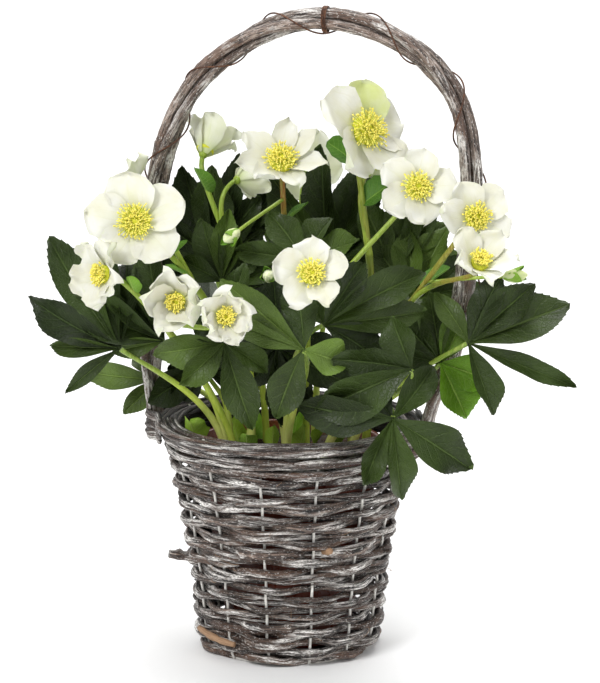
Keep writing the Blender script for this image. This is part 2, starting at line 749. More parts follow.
def mix_finish(name, dark, light):
    """Damp potting mix, or a crumb of bark in it."""
    f = Finish(name)
    place = f.solid_place()
    crumb = f.grain(place, 260.0, 6.0, 0.7, 0.4)
    coarse = f.grain(place, 70.0, 3.0, 0.5)
    between = tuple(blend_between(a, b, 0.35) for a, b in zip(dark, light))
    body = f.ramp(crumb, (0.30, dark), (0.55, between), (0.76, light))
    body = f.blend(f.fade(f.shade(), 0.3, 0.9, 0.85), body, light)
    return f.set(
        colour=f.blend(f.fade(coarse, 0.35, 0.6, 0.0, 0.5), body, darker(dark, 0.4)),
        rough=f.fade(crumb, 0.3, 0.7, 0.96, 0.72),
        normal=f.bump(crumb, 0.9, 0.0016),
    )


def leaf_finish(name, tones, vein_old, vein_young, rough, gloss, vein_rise):
    """The face of a leaflet: pinnate veins, mottling, and a tone from old and dark to young and bright."""
    old, firm, middling, young = tones
    f = Finish(name)
    tone = f.shade()
    length_share, across, _ = f.parts(f.pattern())
    place = f.solid_place()
    off = f.off_middle(across)
    wander = f.times(f.less(f.grain(place, 120.0, 2.0), 0.5), 0.9)
    rank = f.less(f.times(length_share, float(VEINS)), f.times(off, VEIN_SWEEP))
    rank = f.maths("FRACT", f.plus(rank, wander))
    near = f.times(f.maths("ABSOLUTE", f.less(rank, 0.5)), 2.0)
    side_vein = f.times(f.fade(near, 0.84, 0.97), f.fade(off, 0.55, 0.95, 0.15, 1.0))
    midrib = f.fade(off, 0.02, 0.07, 0.0, 1.0)
    net = f.node("ShaderNodeTexVoronoi", {"Vector": place, "Scale": 420.0}, feature="DISTANCE_TO_EDGE")
    netting = f.fade(net.outputs["Distance"], 0.02, 0.12, 0.0, 1.0)
    mottle = f.grain(place, 95.0, 4.0, 0.6)
    broad = f.grain(place, 26.0, 2.0, 0.5)
    body = f.ramp(tone, (0.0, old), (0.1, firm), (0.5, middling), (0.9, young))
    veins = f.blend(tone, vein_old, vein_young)
    body = f.blend(f.fade(mottle, 0.35, 0.7, 0.35), body, f.blend(0.4, body, veins))
    body = f.blend(f.fade(broad, 0.34, 0.62, 0.0, 0.62), body, darker(old, 0.5))
    for marks, strength in ((netting, 0.08), (side_vein, 0.22), (midrib, 0.5)):
        body = f.blend(f.times(marks, strength), body, veins)
    rise = f.most(midrib, f.times(side_vein, 0.55))
    rise = f.times(f.plus(rise, f.times(netting, 0.25)), vein_rise)
    return f.set(
        colour=body,
        rough=f.fade(mottle, 0.3, 0.7, rough + 0.14, rough),
        normal=f.bump(f.plus(rise, f.times(mottle, 0.5)), 0.7, 0.0009),
        specular=gloss,
    )


def stalk_finish(name, foot, middle, top, flush):
    """A fleshy stalk, pale at its foot and greener above. Shades over 1 are flushed with reddish brown."""
    f = Finish(name)
    shade = f.shade()
    place = f.solid_place()
    fibre = f.grain(f.shift(place, (1, 1, 0.09)), 900.0, 3.0, 0.5)
    blotch = f.grain(f.shift(place, (1, 1, 0.4)), 140.0, 3.0, 0.6)
    body = f.ramp(f.maths("FRACT", f.maths("MINIMUM", shade, 0.999)), (0.0, foot), (0.42, middle), (1.0, top))
    red = f.times(f.less(shade, 1.0, clamp=True), f.fade(blotch, 0.3, 0.7, 1.0, 0.55))
    body = f.blend(red, body, flush)
    body = f.blend(f.fade(fibre, 0.4, 0.7, 0.28), body, foot)
    return f.set(
        colour=f.blend(f.fade(blotch, 0.3, 0.55, 0.0, 0.3), body, top),
        rough=f.fade(blotch, 0.3, 0.7, 0.5, 0.36),
        normal=f.bump(fibre, 0.25, 0.0004),
        specular=0.45,
        under=0.12,
        under_scale=0.004,
        under_radius=(0.6, 1.0, 0.3),
    )


def sepal_finish(name, white, cream, lime, veined):
    """A white sepal: creamy shading, lime at its base as far as its shade says, and faint veins along it."""
    f = Finish(name)
    shade = f.shade()
    length_share, across, _ = f.parts(f.pattern())
    place = f.solid_place()
    cloud = f.grain(place, 70.0, 3.0, 0.5)
    stripe = f.grain(f.shift(f.pattern(), (1.6, 21.0, 1)), 1.0, 3.0, 0.5, 0.6)
    fine = f.grain(place, 700.0, 3.0, 0.6)
    body = f.blend(f.fade(cloud, 0.35, 0.7, 0.75), white, cream)
    body = f.blend(f.fade(stripe, 0.52, 0.70, veined), body, cream)
    base = f.less(1.0, f.times(length_share, 2.6), clamp=True)
    rib = f.times(f.fade(f.off_middle(across), 0.0, 0.3, 0.0, 0.35), f.less(1.0, length_share, clamp=True))
    green = f.times(f.plus(base, rib), f.maths("MINIMUM", shade, 1.0), clamp=True)
    over = f.times(f.less(shade, 1.0, clamp=True), f.fade(cloud, 0.3, 0.6, 1.0, 0.7))
    return f.set(
        colour=f.blend(f.most(f.times(green, 0.85), over), body, lime),
        rough=f.fade(cloud, 0.3, 0.7, 0.62, 0.5),
        normal=f.bump(f.plus(f.times(stripe, 0.8), f.times(fine, 0.2)), 0.35, 0.0006),
        specular=0.35,
        under=0.22,
        under_scale=0.003,
        under_radius=(1.0, 1.0, 0.7),
    )


def flesh_finish(name, colour, tip, size, rough=0.6):
    """A small fleshy or powdery part of a bloom, with its tip or pollen in another colour."""
    f = Finish(name)
    powder = f.grain(f.solid_place(), size, 4.0, 0.65)
    return f.set(
        colour=f.blend(f.fade(powder, 0.38, 0.66), colour, tip),
        rough=f.fade(powder, 0.3, 0.7, min(rough + 0.2, 1.0), rough),
        normal=f.bump(powder, 0.4, 0.0003),
        under=0.1,
        under_scale=0.002,
        under_radius=(1.0, 0.8, 0.3),
    )


def split_wood_finish(name, pale, deep):
    """Freshly cut or split willow: tan wood with grain along it."""
    f = Finish(name)
    streak = f.grain(f.shift(f.slid(f.shade(), 31.0), (8, 40, 1)), 1.0, 5.0, 0.6, 0.4)
    return f.set(
        colour=f.ramp(streak, (0.3, deep), (0.6, pale)),
        rough=f.fade(streak, 0.3, 0.7, 0.6, 0.8),
        normal=f.bump(streak, 0.6, 0.0006),
    )


def stage_finish(colour):
    """A seamless pale studio floor."""
    f = Finish("studio_floor")
    mottle = f.grain(f.solid_place(), 6.0, 2.0, 0.4)
    body = f.blend(f.fade(mottle, 0.4, 0.7), colour, darker(colour, 0.985))
    return f.set(colour=body, rough=f.fade(mottle, 0.3, 0.7, 0.9, 0.82), specular=0.2)


def finish_makers():
    """How each finish is made, with the colours in the panel and the fixed ones beside them."""
    basket = bpy.context.scene.hellebore_basket
    plant = bpy.context.scene.hellebore_plant
    dark, middle, pale, wash, pot = (
        tuple(c) for c in (basket.bark_dark, basket.bark, basket.bark_pale, basket.wash, basket.pot)
    )
    leaf_old, leaf_young, sepal, anther = (
        tuple(c) for c in (plant.leaf_old, plant.leaf_young, plant.sepal, plant.anther)
    )
    handle = (tint(50, 41, 37), tint(146, 128, 116), tint(204, 190, 180), tint(122, 94, 78))
    leaf_tones = (leaf_old, tint(49, 66, 22), tint(98, 124, 48), leaf_young)
    leaf_back_tones = (tint(72, 90, 48), tint(80, 100, 50), tint(104, 132, 58), tint(142, 178, 74))
    bract_tones = (tint(44, 88, 16), tint(58, 106, 20), tint(102, 156, 32), tint(160, 206, 48))
    bract_back_tones = (tint(84, 132, 38), tint(96, 146, 42), tint(134, 182, 54), tint(176, 214, 70))
    stalk = (tint(232, 236, 140), tint(192, 212, 78), tint(108, 138, 44), tint(132, 74, 48))
    stem = (tint(226, 230, 124), tint(170, 192, 62), tint(112, 142, 42), tint(156, 68, 34))
    return {
        "willow_bark": (willow_finish, dark, middle, pale, tint(98, 70, 52), wash, 1.0, 0.12),
        "handle_bark": (willow_finish, *handle, wash, 0.8, 0.75),
        "split_willow": (split_wood_finish, tint(176, 142, 110), tint(118, 84, 58)),
        "galvanised_wire": (wire_finish, tint(236, 234, 228), tint(206, 202, 194), 0.1, 0.4),
        "binding_wire": (wire_finish, tint(74, 52, 42), tint(122, 84, 62), 0.6, 0.5),
        "pot_plastic": (pot_finish, pot, tint(92, 74, 60)),
        "potting_mix": (mix_finish, tint(34, 24, 18), tint(92, 68, 50)),
        "bark_crumbs": (mix_finish, tint(46, 31, 22), tint(128, 96, 70)),
        "leaf_face": (leaf_finish, leaf_tones, tint(78, 98, 52), tint(176, 206, 104), 0.34, 0.25, -1.0),
        "leaf_back": (leaf_finish, leaf_back_tones, tint(130, 150, 96), tint(188, 214, 118), 0.55, 0.14, 1.0),
        "leaf_stalk": (stalk_finish, *stalk),
        "stem": (stalk_finish, *stem),
        "bract_face": (leaf_finish, bract_tones, tint(112, 156, 56), tint(206, 228, 116), 0.42, 0.35, -0.6),
        "bract_back": (leaf_finish, bract_back_tones, tint(170, 200, 96), tint(214, 228, 140), 0.5, 0.3, 0.6),
        "sepal_face": (sepal_finish, sepal, tint(216, 214, 190), tint(190, 206, 84), 0.5),
        "sepal_back": (sepal_finish, tint(224, 226, 208), tint(210, 215, 176), tint(168, 190, 72), 0.6),
        "bud_skin": (sepal_finish, tint(236, 240, 206), tint(206, 220, 138), tint(158, 190, 70), 0.8),
        "filament": (flesh_finish, tint(240, 240, 128), tint(222, 228, 84), 900.0),
        "anther": (flesh_finish, anther, tint(248, 240, 140), 1400.0, 0.8),
        "nectary": (flesh_finish, tint(226, 222, 60), tint(186, 198, 40), 700.0),
        "carpel": (flesh_finish, tint(214, 222, 120), tint(236, 232, 170), 700.0),
    }


FINISHES = {}


def finish(name):
    """One of the finishes, made the first time that it is asked for."""
    if name not in FINISHES:
        maker, *values = finish_makers()[name]
        FINISHES[name] = maker(name, *values)
    return FINISHES[name]


# ---- The basket ----
def wall_radius(z):
    """Radius of the middle of the weave at a height: nearly upright below, flaring to the rim."""
    basket = bpy.context.scene.hellebore_basket
    foot, rim, tall = basket.foot_radius / MM, basket.rim_radius / MM, basket.wall_height / MM
    share = max(z, 0) / tall
    flare = 0.35 * share + 0.65 * share**2.2
    return foot + (rim - foot) * flare - FOOT_ROUNDING * exp(-max(z, 0) / 6)


def inward(point):
    return Vector((-point.x, -point.y, 0.0))


def strand_point(turns, lift=0.0, out=0.0):
    """A point of the running strand, which passes in and out of the stakes and steps up a row at the back."""
    row = floor(turns)
    climb = row + max(0, (turns - row - STEP_UP) / 0.2)
    height = min(WEAVE_FIRST + WEAVE_PITCH * climb, WEAVE_LAST) + lift
    angle = pi / 2 + tau * turns
    sway = SWAY * cos(turns * pi * STAKES)
    here = Vector((cos(angle) * 2.1, sin(angle) * 2.1, height * 0.11))
    height += 2.8 * noise.noise(here) + 0.7 * noise.noise(here * 4.1)
    wobble = 1.7 * noise.noise(here * 1.7 + Vector((5, 9, 2)))
    return round_ring(wall_radius(height) + sway + wobble + out, angle, height)


def woven_rods(bm, rng):
    """The woven wall: rods about a turn long, one after another, with thin twigs laid between the rows."""
    at = 0.0
    while at < WEAVE_ROWS:
        length = min(rng.uniform(*ROD_TURNS), WEAVE_ROWS - at)
        long = length + LAP
        count = max(8, round(long * 104))
        thick = rng.uniform(2.4, 3.8)
        knots = [rng.uniform(0.08, 0.92) for _ in range(rng.randint(2, 4))]
        points, radii = [], []
        for i in range(count + 1):
            share = i / count
            turns = at + share * long
            starting = 1 - soft_step(share * long, 0, LAP)
            ending = soft_step((share - 1) * long, -LAP, 0)
            points.append(strand_point(turns, 0.9 * starting - 0.9 * ending, -0.8 * (starting + ending)))
            knot = sum(exp(-(((share - k) * long * 420 / 3.2) ** 2)) for k in knots)
            uneven = 1 + 0.22 * noise.noise(Vector((turns * 9.0, at, 3.0)))
            ends = 1 - 0.35 * starting - 0.5 * ending
            radii.append(thick * uneven * (1 - 0.22 * share) * (1 + 0.3 * knot) * ends)
        twig(bm, points, radii, rng, 8, 0.24)
        at += length
    for _ in range(FILLER_TWIGS):
        start = rng.uniform(0, WEAVE_ROWS - 1)
        length = rng.uniform(*FILLER_TURNS)
        thick = rng.uniform(1.0, 2.0)
        count = max(6, round(length * 90))
        lift = rng.choice((-1, 1)) * WEAVE_PITCH * 0.5
        points = [strand_point(start + length * i / count, lift, 1.1) for i in range(count + 1)]
        twig(bm, points, tapered(thick, 0.35, 6, count), rng, 6, 0.2)


def packed_twigs(bm, rng):
    """The close thin twigs that pack the top of the wall, outside the stakes and in."""
    count = 120
    for course in range(PACKED_COURSES):
        begin = rng.uniform(0, 1)
        thick = rng.uniform(1.5, 2.6)
        for side, spread in ((1, 2.9), (-1, 2.7)):
            points = []
            for i in range(count + 1):
                angle = tau * (begin + 1.04 * i / count)
                here = Vector((cos(angle) * 2, sin(angle) * 2, course * 3.1 + side))
                z = PACKED_LOW + PACKED_RISE * course + 3.2 * noise.noise(here)
                z += 1.8 * sin(angle + course * 2.1)
                radius = wall_radius(min(z, 156)) + side * spread + 0.8 * noise.noise(here * 1.9)
                points.append(round_ring(radius, angle, z))
            twig(bm, points, tapered(thick, 0.4, 5, count), rng)


def border_twigs(bm, rng, rim):
    """Slim twigs that run round the top beside each other, outside the stakes and in."""
    count = 126
    for side in (1, -1):
        for strand in range(BORDER_STRANDS):
            thick = rng.uniform(1.4, 2.1)
            begin = rng.uniform(0, 1)
            points = []
            for i in range(count + 1):
                turns = begin + 1.05 * i / count
                twist = tau * (strand / BORDER_STRANDS + 2.0 * turns)
                spread = BORDER_OFF * side + 2.0 * cos(twist)
                points.append(round_ring(rim + spread, tau * turns, BORDER_HEIGHT + 1.9 * sin(twist)))
            twig(bm, points, tapered(thick, 0.4, 6, count), rng)


def foot_wraps(bm, rng):
    """The strands that hold the feet of the handle to the wall."""
    count = 40
    for foot in (180 - HANDLE_TURN, -HANDLE_TURN):
        for strand in range(WRAP_STRANDS):
            tilt = rng.uniform(-2.5, 2.5)
            points = []
            for i in range(count + 1):
                off = blend_between(-WRAP_REACH, WRAP_REACH, i / count)
                out = WRAP_RADIUS + (10.0 + strand % 2) * exp(-((off / 11) ** 4))
                height = WRAP_LOW + WRAP_RISE * strand + tilt * off / WRAP_REACH
                height += 0.6 * sin(off * 0.5 + strand)
                points.append(round_ring(out, radians(foot + off), height))
            radii = [rng.uniform(1.9, 2.2) * share for share in tapered(1, 0.3, 5, count)]
            twig(bm, points, radii, rng)


# Cut ends that stick out of the weave: from, to, thickness, and whether the cut wood shows all over.
STUBS = [
    ((-62, -16, 65), (-84, -22, 71), 3.9, 0),
    ((-70, 12, 121), (-82, 16, 124), 2.4, 0),
    ((80, -22, 140), (92, -27, 144), 2.6, 0),
    ((62, -28, 74), (71, -33, 76), 2.2, 0),
    ((30, 62, 96), (35, 74, 98), 2.6, 0),
    ((24, -64, 84), (29, -71, 86), 2.5, 1),
]


def loose_ends(bm, rng):
    """Cut ends that stick out of the weave, a split rod across its foot, and stray fibres."""
    for start, end, thick, material in STUBS:
        points = Path([Vector(start), Vector(end)]).evenly(7)
        radii = [thick * (1.1 - 0.03 * i + 0.14 * sin(i * 1.7)) for i in range(8)]
        rod(bm, points, radii, Vector((0.2, 0.9, -0.3)), 8, 0.45, material, rng.random())
    arc = []
    for i in range(15):
        height = blend_between(*SPLIT_HEIGHTS, i / 14)
        angle = radians(blend_between(*SPLIT_BEARINGS, i / 14))
        arc.append(round_ring(wall_radius(height) + 5.8, angle, height))
    rod(bm, arc, [2.6 - 0.09 * abs(i - 7) for i in range(15)], inward, 8, 0.3, 1, 0.3)
    for _ in range(FIBRES):
        angle = rng.uniform(0, 2 * pi)
        height = rng.uniform(12, 140)
        foot = round_ring(wall_radius(height) + 5.5, angle, height)
        out = round_ring(1, angle, 0)
        drift = direction(rng.uniform(0, 360), rng.uniform(-50, 50))
        tip = foot + out * rng.uniform(1, 3) + drift * rng.uniform(5, 13)
        points = bezier(foot, foot + out * 3, foot + out * 4 + drift * 3, tip, 8).evenly(6)
        radii = [0.22, 0.22, 0.2, 0.18, 0.15, 0.12, 0.08]
        rod(bm, points, radii, Vector((0.3, 0.2, 0.9)), 3, 0, 1, rng.random())


def across_handle():
    """The level way through the handle's arch, from its front to its back."""
    return Vector((sin(radians(HANDLE_TURN)), cos(radians(HANDLE_TURN)), 0))


def handle_middle():
    turn = radians(HANDLE_TURN)
    return spline([Vector((across * cos(turn), -across * sin(turn), up)) for across, up in HANDLE_ARCH])


def beside_handle(middle, share, outward, through):
    """A point beside the handle's middle line: outward from the arch, and through it from front to back."""
    outward_way = across_handle().cross(middle.along(share)).normalized()
    return middle.at(share) + outward_way * outward + across_handle() * through


def round_handle(middle, share, radius, turn):
    return beside_handle(middle, share, radius * cos(turn), radius * sin(turn))


def handle_point(middle, index, share, radius=3.8, bundle=4.8):
    """A point on the middle of one of the three rods, which turn slowly round each other."""
    beside = (0, 1, -1)[index] * (2 * radius + GAP)
    turn = tau * (index / 3 + soft_step(share, 0.12, 0.88))
    flat = soft_step(abs(share - 0.5), 0.4, 0.47)
    swell = 1 + 0.8 * flat * (1 - flat)
    outward = swell * (1 - flat) * bundle * cos(turn)
    through = swell * blend_between(bundle * sin(turn), beside, flat)
    return beside_handle(middle, share, outward, through)


# ---- The plant ----
TEETH = 7
TOOTH = 0.42 / TEETH
PLAIN_ROWS = [0, 0.05, 0.11, 0.18, 0.26, 0.34, 0.42, 0.5]
TOOTH_ROWS = [0.54 + TOOTH * (index + part) for index in range(TEETH) for part in (0.06, 0.5, 0.92)]
LEAF_ROWS = [*PLAIN_ROWS, *TOOTH_ROWS, 1.0]
LEAF_COLUMNS = [1, 0.9, 0.7, 0.45, 0.22, 0.06, 0, -0.06, -0.22, -0.45, -0.7, -0.9, -1]
SEPAL_ROWS = [0, 0.06, 0.13, 0.21, 0.3, 0.4, 0.5, 0.6, 0.7, 0.79, 0.86, 0.92, 0.96, 0.985, 1]
SEPAL_COLUMNS = [1, 0.86, 0.66, 0.44, 0.22, 0, -0.22, -0.44, -0.66, -0.86, -1]
BRACT_ROWS = [0, 0.07, 0.16, 0.27, 0.4, 0.54, 0.68, 0.8, 0.89, 0.95, 1]
BRACT_COLUMNS = [1, 0.75, 0.4, 0.1, -0.1, -0.4, -0.75, -1]


def leaf_outline(share):
    """Half width of a leaflet along its length: narrow at its foot, broadest past the middle, pointed."""
    if share < 0.58:
        return 0.08 + 0.92 * sin(pi / 2 * share / 0.58) ** 1.45
    return max(0, 1 - ((share - 0.58) / 0.42) ** 1.85)


def leaf_edge(share, row):
    """Forward teeth on the outer part of a leaflet: how far each row of the edge stands out and forward."""
    start = len(PLAIN_ROWS)
    if row < start or row >= len(LEAF_ROWS) - 1:
        return 0, 0
    part = (row - start) % 3
    fade = 0.3 + 0.4 * soft_step(share, 0.5, 0.75)
    return (-0.01, 0.014, 0.042)[part] * fade, (0.0, 0.003, 0.012)[part]


def sepal_outline(pointed):
    power, root = blend_between(2.2, 1.5, pointed), blend_between(0.5, 0.9, pointed)

    def outline(share):
        if share < 0.64:
            return 0.3 + 0.7 * sin(pi / 2 * share / 0.64) ** 1.1
        return max(0, 1 - ((share - 0.64) / 0.36) ** power) ** root

    return outline


def bract_outline(share):
    if share < 0.45:
        return 0.35 + 0.65 * sin(pi / 2 * share / 0.45)
    return max(0, 1 - ((share - 0.45) / 0.55) ** 1.8) ** 0.8


def lobed_outline(share, phase):
    """A bract with a round end and shallow lobes."""
    if share < 0.5:
        return 0.3 + 0.7 * sin(pi * share)
    return max(0, 1 - ((share - 0.5) / 0.5) ** 3) ** 0.5 * (1 - 0.07 * (1 + sin(19 * share + phase)))


def round_axis(first, second, angle):
    return first * cos(angle) + second * sin(angle)


def stalk_path(foot, upright, lean, head, meets, ease):
    """A stalk or stem from its foot, straight up at first, to a head that it meets along a direction."""
    start = Vector((*foot, MIX["top"] - MIX["hole_depth"] + GAP))
    above = start + Vector((lean, 0, max(upright * (head.z - start.z), 45)))
    return bezier(start, above, head - meets * ease, head)


def leaflet(bm, at, along, face, length, width, droop, tone, rng, thick):
    """One toothed leaflet with a grooved midrib and quilting between its side veins."""
    phase, waves, depth = rng.uniform(0, 6.3), rng.uniform(1.0, 2.2), rng.uniform(1.4, 3.8)

    def ripple(share, across):
        wave = sin(tau * waves * share + phase + (1.2 if across > 0 else 0))
        return depth * wave * across**2 * soft_step(share, 0.2, 0.6)

    def groove(share, across, off):
        rank = VEINS * share - VEIN_SWEEP * abs(across)
        quilt = max(0, cos(tau * rank)) ** 3
        midrib = 0.55 * exp(-((off / 0.9) ** 2))
        return midrib + 0.3 * quilt * (1 - abs(across)) * soft_step(abs(across), 0.02, 0.2)

    blade(
        bm,
        at=at,
        along=along,
        face=face,
        length=length,
        width=width,
        bend=droop + rng.uniform(-16, 22),
        fold=rng.uniform(14, 42),
        cup=1.25,
        thick=thick,
        outline=leaf_outline,
        edge=leaf_edge,
        ripple=ripple,
        groove=groove,
        ridge=lambda share, off: 0.8 * exp(-((off / 0.8) ** 2)) * (1 - 0.7 * share),
        rows=LEAF_ROWS,
        columns=LEAF_COLUMNS,
        twist=rng.uniform(-26, 26),
        sway=rng.uniform(-7, 7),
        materials=(0, 1),
        shade=min(max(tone + rng.uniform(-0.03, 0.05), 0), 1),
    )


def leaf(bm, foot, upright, spec, rng, thick):
    """A leaf: a fleshy stalk and the leaflets that stand round its head."""
    hub, face, droop, rest, fan = spec
    at = Vector(hub)
    along = direction(*rest.get("aim", (0, 0)))
    up = square_to(direction(*face), along)
    side = up.cross(along)
    turned_from = radians(rest.get("stalk_from", (fan[0][0] + fan[-1][0]) / 2 - 180))
    arrive = (round_axis(along, side, turned_from) * -0.85 + up * 0.5).normalized()
    points = stalk_path(foot, upright, 0, at - arrive, arrive, 26).evenly(30)
    radii = [blend_between(3.1, 1.4, (i / 30) ** 0.9) * (1 + 0.25 * soft_step(i, 27, 30)) for i in range(31)]
    rod(bm, points, radii, STALK_SEAM, 10, 0.05, 2, lambda share: 0.02 + 0.97 * soft_step(share, 0.12, 1.0))
    for turn, length, width, tone in fan:
        away = round_axis(along, side, radians(turn))
        shingled = up + up.cross(away) * tan(radians(SHINGLE_LEAF))
        leaflet(bm, at, away, shingled, length, width, droop, tone, rng, thick)


def cross_axes(look):
    first = square_to(Vector((1, 0, 0)) if abs(look.z) > 0.9 else UP, look)
    return first, look.cross(first)


def sepals(bm, bloom, rng, thick):
    """The sepals of a bloom, each a broad cupped blade, on a small green receptacle."""
    centre = Vector(bloom["at"])
    way = direction(*bloom["look"])
    axes = cross_axes(way)
    count = bloom.get("count", SEPALS)
    lift, span = bloom["lift"], bloom["span"]
    broad = bloom.get("broad", blend_between(0.48, 0.36, min(max((lift - 20) / 36, 0), 1)))
    crumple = bloom.get("crumple", 0.0)
    for index in range(count):
        away = round_axis(*axes, radians(bloom["turn"]) + tau * index / count + radians(rng.uniform(-4, 4)))
        rise = radians(lift + rng.uniform(-4, 4) + (4 if index % 2 else 0))
        along = away * cos(rise) + way * sin(rise)
        inner = way * cos(rise) - away * sin(rise)
        phase, depth = rng.uniform(0, 6.3), rng.uniform(1.2, 2.4) + 0.9 * crumple
        waves = rng.uniform(6, 13)
        notch = rng.uniform(0.03, 0.08) + 0.02 * crumple
        rim = sepal_outline(0.9 if count > SEPALS else rng.uniform(0.2, 0.6) * bloom.get("pointed", 1.0))

        def ripple(share, across, phase=phase, depth=depth, waves=waves):
            wave = sin(waves * share + phase + 2.6 * across) + 0.5 * sin(17 * share - phase + 5 * across)
            return depth * wave * (abs(across) ** 2 + share**4) * soft_step(share, 0.3, 0.85)

        def ragged(share, phase=phase, notch=notch, rim=rim):
            return rim(share) * (1 - notch * soft_step(share, 0.4, 0.7) * (1 + sin(23 * share + phase)))

        lime = LIME_SHADE if index in bloom.get("limes", ()) else bloom["green"] * rng.uniform(0.9, 1.5)
        blade(
            bm,
            at=centre + away * (0.6 + 2.2 * sin(rise)),
            along=along,
            face=inner + inner.cross(along) * tan(radians(SHINGLE_SEPAL)),
            length=span / 2 * (bloom["lengths"][index] if "lengths" in bloom else rng.uniform(0.95, 1.03)),
            width=span * broad * rng.uniform(0.98, 1.16),
            bend=bloom["bend"] + rng.uniform(-8, 8) + crumple * rng.uniform(-24, 24),
            fold=rng.uniform(10, 20) + 12 * crumple,
            cup=1.8,
            thick=thick,
            outline=ragged,
            ripple=ripple,
            rows=SEPAL_ROWS,
            columns=SEPAL_COLUMNS,
            twist=rng.uniform(-10, 10) * (1 + crumple),
            sway=rng.uniform(-6, 6),
            materials=(0, 1),
            shade=lime,
        )
    turned(bm, RECEPTACLE, 14, 2, 0.8, way, centre)


def paint(verts, material, smooth):
    for face in faces_of(verts):
        face.material_index = material
        face.smooth = smooth


def boss(bm, bloom, rng, amount):
    """The boss of a bloom: many stamens, a ring of nectaries, and carpels in the middle."""
    centre = Vector(bloom["at"])
    way = direction(*bloom["look"])
    axes = cross_axes(way)
    span = bloom["span"]
    low = RECEPTACLE_THICK / 2 + GAP
    reach = STAMEN_REACH * span
    outer = min(max(bloom["lift"] + 10, 24), 62)
    count = round(amount * min(1.2, span / 60))
    for index in range(count):
        share = (index + 0.5) / count
        out = round_axis(*axes, index * GOLDEN_ANGLE + rng.uniform(-0.2, 0.2))
        rise = radians(blend_between(outer, 82, share**1.1) + rng.uniform(-6, 6))
        long = reach * rng.uniform(0.74, 1.02) * (1 - 0.25 * share)
        foot = centre + way * low + out * blend_between(2.8, 1.2, share)
        tip = centre + way * (low + long * sin(rise)) + out * (long * cos(rise) + 1.0)
        bow = foot + way * (long * 0.5) + out * 0.6
        path = bezier(foot, foot.lerp(bow, 0.8), bow.lerp(tip, 0.5), tip, 6)
        rod(bm, path.evenly(3), [0.5, 0.44, 0.36, 0.3], way.cross(out), 3, 0, 0)
        leaning = (tip - bow).normalized()
        size = rng.uniform(0.66, 0.98)
        spin = leaning.to_track_quat("Z", "Y").to_matrix().to_4x4()
        spin = spin @ Matrix.Rotation(rng.uniform(0, 3), 4, "Z")
        place = Matrix.Translation(tip) @ spin @ Matrix.Diagonal((size * 0.85, size * 0.62, size * 1.25, 1))
        paint(bmesh.ops.create_icosphere(bm, subdivisions=1, radius=1.0, matrix=place)["verts"], 1, True)
    flat = cos(radians(outer))
    dome = [(0, 0.0), (0.1, 0.0), (0.3 + 0.4 * flat, 0.14), (0.3 + 0.3 * flat, 0.34), (0.2, 0.5), (0, 0.54)]
    turned(bm, [(reach * radius, low + reach * height) for radius, height in dome], 16, 2, 0.5, way, centre)
    for index in range(NECTARIES):
        out = round_axis(*axes, tau * index / NECTARIES + rng.uniform(-0.1, 0.1))
        tilt = radians(outer - 2 + rng.uniform(-4, 4))
        foot = centre + way * low + out * 2.6
        aim = way * sin(tilt) + out * cos(tilt)
        points = [foot + aim * (NECTARY_LONG * span * share) for share in (0, 0.4, 0.75, 1)]
        rod(bm, points, [0.6, 1.0, 1.3, 1.0], way, 6, 0, 2)
    for index in range(CARPELS):
        out = round_axis(*axes, tau * index / CARPELS + 0.4)
        foot = centre + way * low + out * 0.7
        tall = CARPEL_TALL * span
        top = foot + way * tall + out * 2.2
        path = bezier(foot, foot + way * tall * 0.5, foot + way * tall * 0.9 + out * 0.4, top, 10)
        rod(bm, path.evenly(7), [0.85, 1.05, 1.0, 0.75, 0.5, 0.36, 0.3, 0.24], way.cross(out), 6, 0, 3)


def blunt_end(length, width):
    """How round and lobed the end of a bract is: 0 on a slim one, 1 on a broad one."""
    return soft_step(width / length, 0.6, 0.85)


def bract(bm, at, along, face, length, width, rng, fold=26, shade=0.5, depth=0.5):
    """A small leaf on a stem, hollowed towards its tip. Broad ones have a round, uneven end."""
    phase = rng.uniform(0, 6.3)
    blunt = blunt_end(length, width)
    blade(
        bm,
        at=at,
        along=along,
        face=face,
        length=length,
        width=width * 1.08,
        bend=rng.uniform(-14, 12),
        fold=fold,
        cup=1.5,
        thick=BRACT_THICK,
        outline=lambda share: blend_between(bract_outline(share), lobed_outline(share, phase), blunt),
        ripple=lambda share, across: depth * sin(9 * share + phase + 2 * across) * across**2,
        groove=lambda share, across, off: 0.25 * exp(-((off / 0.7) ** 2)),
        rows=BRACT_ROWS,
        columns=BRACT_COLUMNS,
        materials=(1, 2),
        shade=shade,
    )


BUD = [
    (0, -8), (1.3, -7.6), (2.6, -6), (4, -3), (4.8, 0.5), (4.6, 3.4), (3.5, 6.4), (2, 8.8), (0.8, 10),
    (0, 10.3),
]


def bud(bm, at, along, rng):
    """A closed bud: five sepals wrapped into a pointed egg, with three bracts round its foot."""
    turned(bm, BUD, 20, 3, 0.65, along, at, 5, 0.1)
    axes = cross_axes(along)
    for index in range(3):
        away = round_axis(*axes, tau * index / 3 + rng.uniform(-0.3, 0.3))
        start = at - along * 6.4 + away * 2.4
        bract(bm, start, (along + away * 0.25).normalized(), away * -1, 15, 9.5, rng, fold=34)


